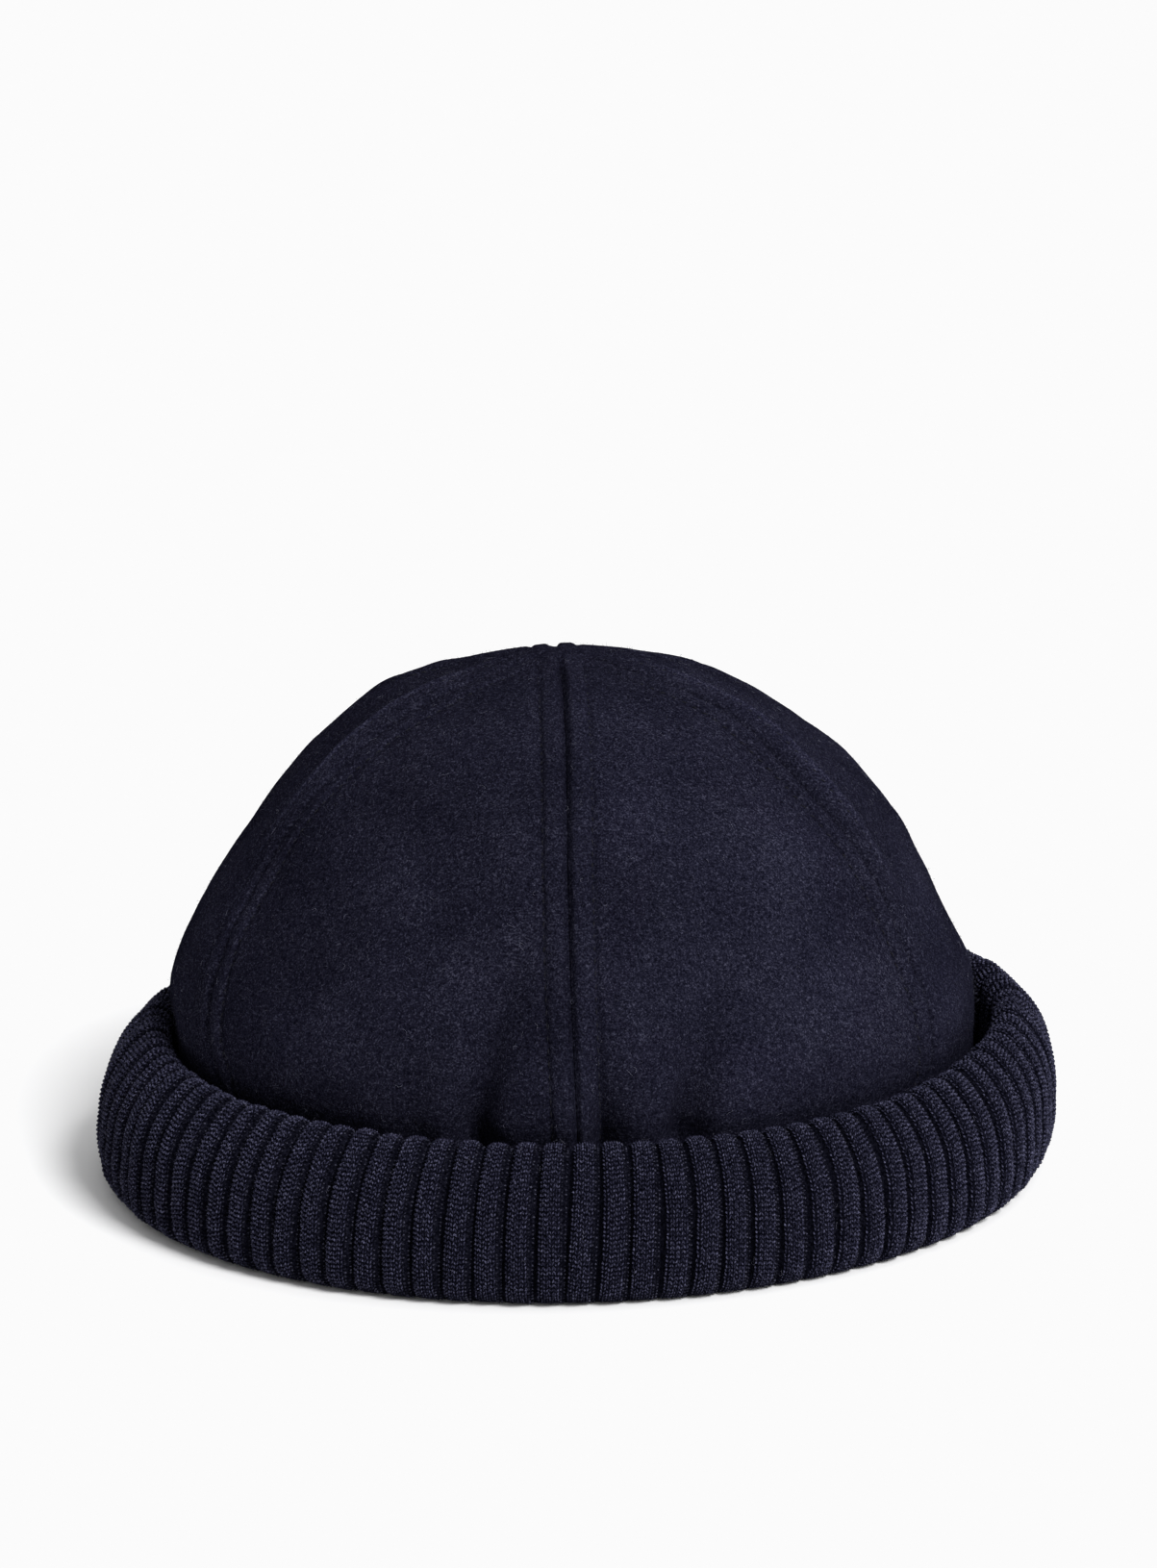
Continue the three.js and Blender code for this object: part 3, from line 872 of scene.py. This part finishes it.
def purl_bumps(material):
    """The bumps of the purl columns on the flank of each rib, beside the groove."""
    rows = np.arange(STITCH_START, STITCH_END, STITCH_ROW)
    rib, column, way = grids(np.arange(RIB_COUNT), np.arange(len(PURL_PLACES)), rows)
    pick = np.random.default_rng(PURL_SEED)
    count = len(rib)
    way = way + (column == 0) * STITCH_ROW / 2 + pick.normal(0, PURL_STRAY, count)
    place = rib + PURL_PLACES[column]
    centres, along, across, outward = frames_on_cuff(place, way, PURL_LIFT)
    size = pick.uniform(*PURL_SIZES, (count, 1)) * PURL_SIZE
    return spindles("purl_bumps", centres, across, along, outward, size, material)


def loose_lint(material):
    """Pale hairs caught in the felt and in the knit."""
    pick = np.random.default_rng(LINT_SEED)
    way, angle = crown_places(FELT_LINT, pick, FELT_HAIR_START, CROWN_LENGTH)
    on_felt, felt_facing, _ = felt_skin(way, angle)
    rib = pick.uniform(0, RIB_COUNT, KNIT_LINT)
    knit_way = pick.uniform(KNIT_HAIR_START, KNIT_HAIR_END, KNIT_LINT)
    on_knit, _, _, knit_facing = frames_on_cuff(rib, knit_way, LINT_LIFT)
    roots = np.concatenate([on_felt, on_knit])
    facing = np.concatenate([felt_facing, knit_facing])
    return curls("loose_lint", roots, facing, pick, material)


# Materials

# Colours from the darkest to the lightest. Those of the felt have their places on its
# noise, and the yarn's are those of the ribs, of the grooves and of what lies behind. The
# last two are the ribs' yarn made darker: painted shade in the grooves and behind.
FELT_COLOURS = (
    (0.40, (0.0022, 0.0022, 0.0050)),
    (0.49, (0.0072, 0.0072, 0.0142)),
    (0.55, (0.0140, 0.0140, 0.0258)),
    (0.64, (0.0520, 0.0520, 0.0800)),
)
YARN_PLACES = (0.36, 0.5, 0.66)
RIB_COLOURS = ((0.004, 0.004, 0.009), (0.0136, 0.0136, 0.0285), (0.085, 0.085, 0.14))
GROOVE_SHADE_COLOURS = ((0.001, 0.001, 0.003), (0.0062, 0.0062, 0.013), (0.06, 0.06, 0.09))
SHADE_COLOURS = ((0.001, 0.001, 0.002), (0.003, 0.003, 0.006), (0.008, 0.008, 0.014))
YARN_GLOSS = 0.04
NAP_COLOUR = (0.035, 0.035, 0.058)
LINT_COLOUR = (0.2, 0.2, 0.27)
THREAD_COLOUR = (0.006, 0.006, 0.012)
PAPER_COLOUR = (0.95, 0.95, 0.955)


class Shader:
    """A node material around one Principled shader."""

    def __init__(self, name):
        self.material = bpy.data.materials.new(name)
        self.material.use_nodes = True
        self.tree = self.material.node_tree
        self.surface = self.tree.nodes["Principled BSDF"]
        self.place = self.node("ShaderNodeTexCoord").outputs["Object"]

    def node(self, kind, **settings):
        """A new node of a kind, with some of its settings."""
        made = self.tree.nodes.new(kind)
        for key, value in settings.items():
            setattr(made, key, value)
        return made

    def join(self, source, target):
        """Links an output to an input."""
        self.tree.links.new(source, target)

    def noise(self, scale, detail, roughness):
        """A noise in the object's own coordinates, its scale counted for each metre."""
        noise = self.node("ShaderNodeTexNoise")
        noise.inputs["Scale"].default_value = scale
        noise.inputs["Detail"].default_value = detail
        noise.inputs["Roughness"].default_value = roughness
        self.join(self.place, noise.inputs["Vector"])
        return noise.outputs["Fac"]

    def math(self, operation, first, second):
        """The result of a sum or product of two outputs or numbers."""
        made = self.node("ShaderNodeMath", operation=operation)
        for socket, value in zip(made.inputs, (first, second)):
            if isinstance(value, (int, float)):
                socket.default_value = value
            else:
                self.join(value, socket)
        return made.outputs[0]

    def ramp(self, value, stops):
        """The colour that a value has on a ramp with stops of place and colour."""
        made = self.node("ShaderNodeValToRGB")
        elements = made.color_ramp.elements
        while len(elements) < len(stops):
            elements.new(0.5)
        for element, (position, colour) in zip(elements, stops):
            element.position = position
            element.color = (*colour, 1)
        self.join(value, made.inputs["Fac"])
        return made.outputs["Color"]

    def bump(self, height, distance, strength):
        """Roughens the shader's normal by a height."""
        made = self.node("ShaderNodeBump")
        made.inputs["Strength"].default_value = strength
        made.inputs["Distance"].default_value = distance
        self.join(height, made.inputs["Height"])
        self.join(made.outputs["Normal"], self.surface.inputs["Normal"])

    def set(self, **values):
        """Sets the shader's own sockets, with underscores for the blanks in their names."""
        for key, value in values.items():
            self.surface.inputs[key.replace("_", " ")].default_value = value


def felt_material():
    """Dark navy felted wool with a short nap. Its colour is scaled per point by the gores' painted
    shade, the folds' painted highlight and an uneven tone.
    """
    felt = Shader("wool_felt")
    nap = felt.noise(scale=2200, detail=5, roughness=0.75)
    tufts = felt.noise(scale=900, detail=3, roughness=0.6)
    cloud = felt.noise(scale=50, detail=2, roughness=0.5)
    nap_share, tuft_share, cloud_share = 0.72, 0.2, 0.08
    fine = felt.math("MULTIPLY", nap, nap_share)
    coarse = felt.math("MULTIPLY", tufts, tuft_share)
    wide = felt.math("MULTIPLY", cloud, cloud_share)
    tone = felt.math("ADD", felt.math("ADD", fine, coarse), wide)
    colour = felt.ramp(tone, FELT_COLOURS)
    # Painted shade and painted highlight, with uneven tone, scale the felt's colour per point
    painted_light_and_tone = felt.node("ShaderNodeAttribute", attribute_name="painted_light_and_nap_tone")
    shaded = felt.node("ShaderNodeVectorMath", operation="SCALE")
    felt.join(colour, shaded.inputs["Vector"])
    felt.join(painted_light_and_tone.outputs["Fac"], shaded.inputs["Scale"])
    felt.join(shaded.outputs["Vector"], felt.surface.inputs["Base Color"])
    felt.bump(felt.math("ADD", nap, tufts), distance=0.3 * MM, strength=1.0)
    felt.set(Roughness=1.0, Specular_IOR_Level=0.0)
    return felt.material


def knit_material(name, colours, gloss):
    """Dark navy plied wool yarn, or a darker copy of it as painted shade."""
    knit = Shader(name)
    yarn = knit.noise(scale=1600, detail=4, roughness=0.65)
    colour = knit.ramp(yarn, list(zip(YARN_PLACES, colours)))
    knit.join(colour, knit.surface.inputs["Base Color"])
    knit.bump(yarn, distance=0.25 * MM, strength=0.8)
    knit.set(Roughness=0.6, Specular_IOR_Level=gloss)
    return knit.material


def hair_material(name, colour):
    """Single wool hairs, uneven in tone from one to the next."""
    hair = Shader(name)
    tint = hair.noise(scale=300, detail=1, roughness=0.6)
    darkest = 0.4
    dark = tuple(channel * darkest for channel in colour)
    hair.join(hair.ramp(tint, [(0.4, dark), (0.6, colour)]), hair.surface.inputs["Base Color"])
    hair.set(Roughness=0.7, Specular_IOR_Level=0.2)
    return hair.material


def paper_material():
    """The even pale paper of the stage."""
    paper = Shader("floor_paper")
    paper.set(Base_Color=(*PAPER_COLOUR, 1), Roughness=1.0)
    return paper.material


# Stage, light and camera

def make_stage():
    """A wide floor of paper."""
    size = 30
    mesh = bpy.data.meshes.new("floor")
    corners = [(-size, -size, 0), (size, -size, 0), (size, size, 0), (-size, size, 0)]
    mesh.from_pydata(corners, [], [(0, 1, 2, 3)])
    mesh.materials.append(paper_material())
    floor = bpy.data.objects.new("floor", mesh)
    bpy.context.collection.objects.link(floor)


def make_lights():
    """A white room, brighter on the right, and one soft key from the right of the camera."""
    world = bpy.data.worlds.new("studio")
    world.use_nodes = True
    tree = world.node_tree
    tree.nodes["Background"].inputs["Color"].default_value = (1, 1, 1, 1)
    heading = tree.nodes.new("ShaderNodeTexCoord").outputs["Generated"]
    sideways = tree.nodes.new("ShaderNodeSeparateXYZ")
    lean = tree.nodes.new("ShaderNodeMath")
    lean.operation = "MULTIPLY_ADD"
    lean.inputs[1].default_value = ROOM_LIGHT * ROOM_LEAN
    lean.inputs[2].default_value = ROOM_LIGHT
    tree.links.new(heading, sideways.inputs["Vector"])
    tree.links.new(sideways.outputs["X"], lean.inputs[0])
    tree.links.new(lean.outputs["Value"], tree.nodes["Background"].inputs["Strength"])
    bpy.context.scene.world = world
    sun = bpy.data.lights.new("key", "SUN")
    sun.energy = KEY_LIGHT * math.pi
    sun.angle = KEY_SPREAD
    key = bpy.data.objects.new("key", sun)
    bpy.context.collection.objects.link(key)
    level = math.cos(KEY_HEIGHT)
    across, onward = -math.sin(KEY_SIDE) * level, math.cos(KEY_SIDE) * level
    towards = Vector((across, onward, -math.sin(KEY_HEIGHT)))
    key.rotation_euler = towards.to_track_quat("-Z", "Y").to_euler()


def make_film():
    """Standard colours, with the highlights rolled off just below white as in the photograph."""
    view = bpy.context.scene.view_settings
    view.view_transform = "Standard"
    view.use_curve_mapping = True
    all_colours = view.curve_mapping.curves[3]
    all_colours.points[-1].location = (1, FILM_WHITE)
    all_colours.points.new(FILM_SHOULDER, FILM_SHOULDER)
    view.curve_mapping.extend = "HORIZONTAL"
    view.curve_mapping.update()


def make_camera():
    """The photograph's camera: its aim, distance, pitch and slight roll."""
    sensor = 24
    data = bpy.data.cameras.new("photo_camera")
    data.sensor_fit = "VERTICAL"
    data.sensor_height = sensor
    data.lens = FOCAL_PIXELS / PHOTO_HEIGHT * sensor
    data.clip_end = 100
    camera = bpy.data.objects.new("photo_camera", data)
    bpy.context.collection.objects.link(camera)
    forward = Vector((0, math.cos(CAMERA_PITCH), -math.sin(CAMERA_PITCH)))
    up = Vector((0, math.sin(CAMERA_PITCH), math.cos(CAMERA_PITCH)))
    right = Vector((1, 0, 0))
    turn_cos, turn_sin = math.cos(CAMERA_ROLL), math.sin(CAMERA_ROLL)
    side = right * turn_cos - up * turn_sin
    above = right * turn_sin + up * turn_cos
    place = CAMERA_AIM - forward * CAMERA_DISTANCE
    matrix = Matrix((side, above, -forward)).transposed().to_4x4()
    matrix.translation = place
    camera.matrix_world = matrix
    bpy.context.scene.camera = camera


def dress(piece, slot, *nodes):
    """Rides a piece on the cap and hides the solids that it stands for. Its slot is not used."""
    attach(piece, "root")
    if nodes:
        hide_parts(*nodes)


make_camera()
make_film()
make_lights()
make_stage()

felt = felt_material()
yarn = knit_material("rib_knit", RIB_COLOURS, YARN_GLOSS)
# Darker copies of the yarn as painted shade: on the purl flanks by the grooves and on the cuff's
# body behind the stitches
groove = knit_material("rib_knit_groove_shade", GROOVE_SHADE_COLOURS, YARN_GLOSS)
shade = knit_material("rib_knit_shade", SHADE_COLOURS, 0.0)
nap = hair_material("nap_hair", NAP_COLOUR)
lint = hair_material("pale_hair", LINT_COLOUR)
thread = hair_material("thread", THREAD_COLOUR)

for index in range(PANEL_COUNT):
    dress(gore(index, felt), "wool_felt", f"crown_panel_{index + 1}")
# The cuff's body is painted near black: painted shade in the grooves and behind the stitches
dress(knit_cuff(shade), "rib_knit", "rib_cuff")
for part in range(STITCH_PIECES):
    dress(knit_stitches(part, yarn), "rib_knit")
dress(purl_bumps(groove), "rib_knit")
dress(topstitches(thread), "wool_felt")
dress(felt_fibres(nap), "wool_felt")
dress(loose_lint(lint), "wool_felt")
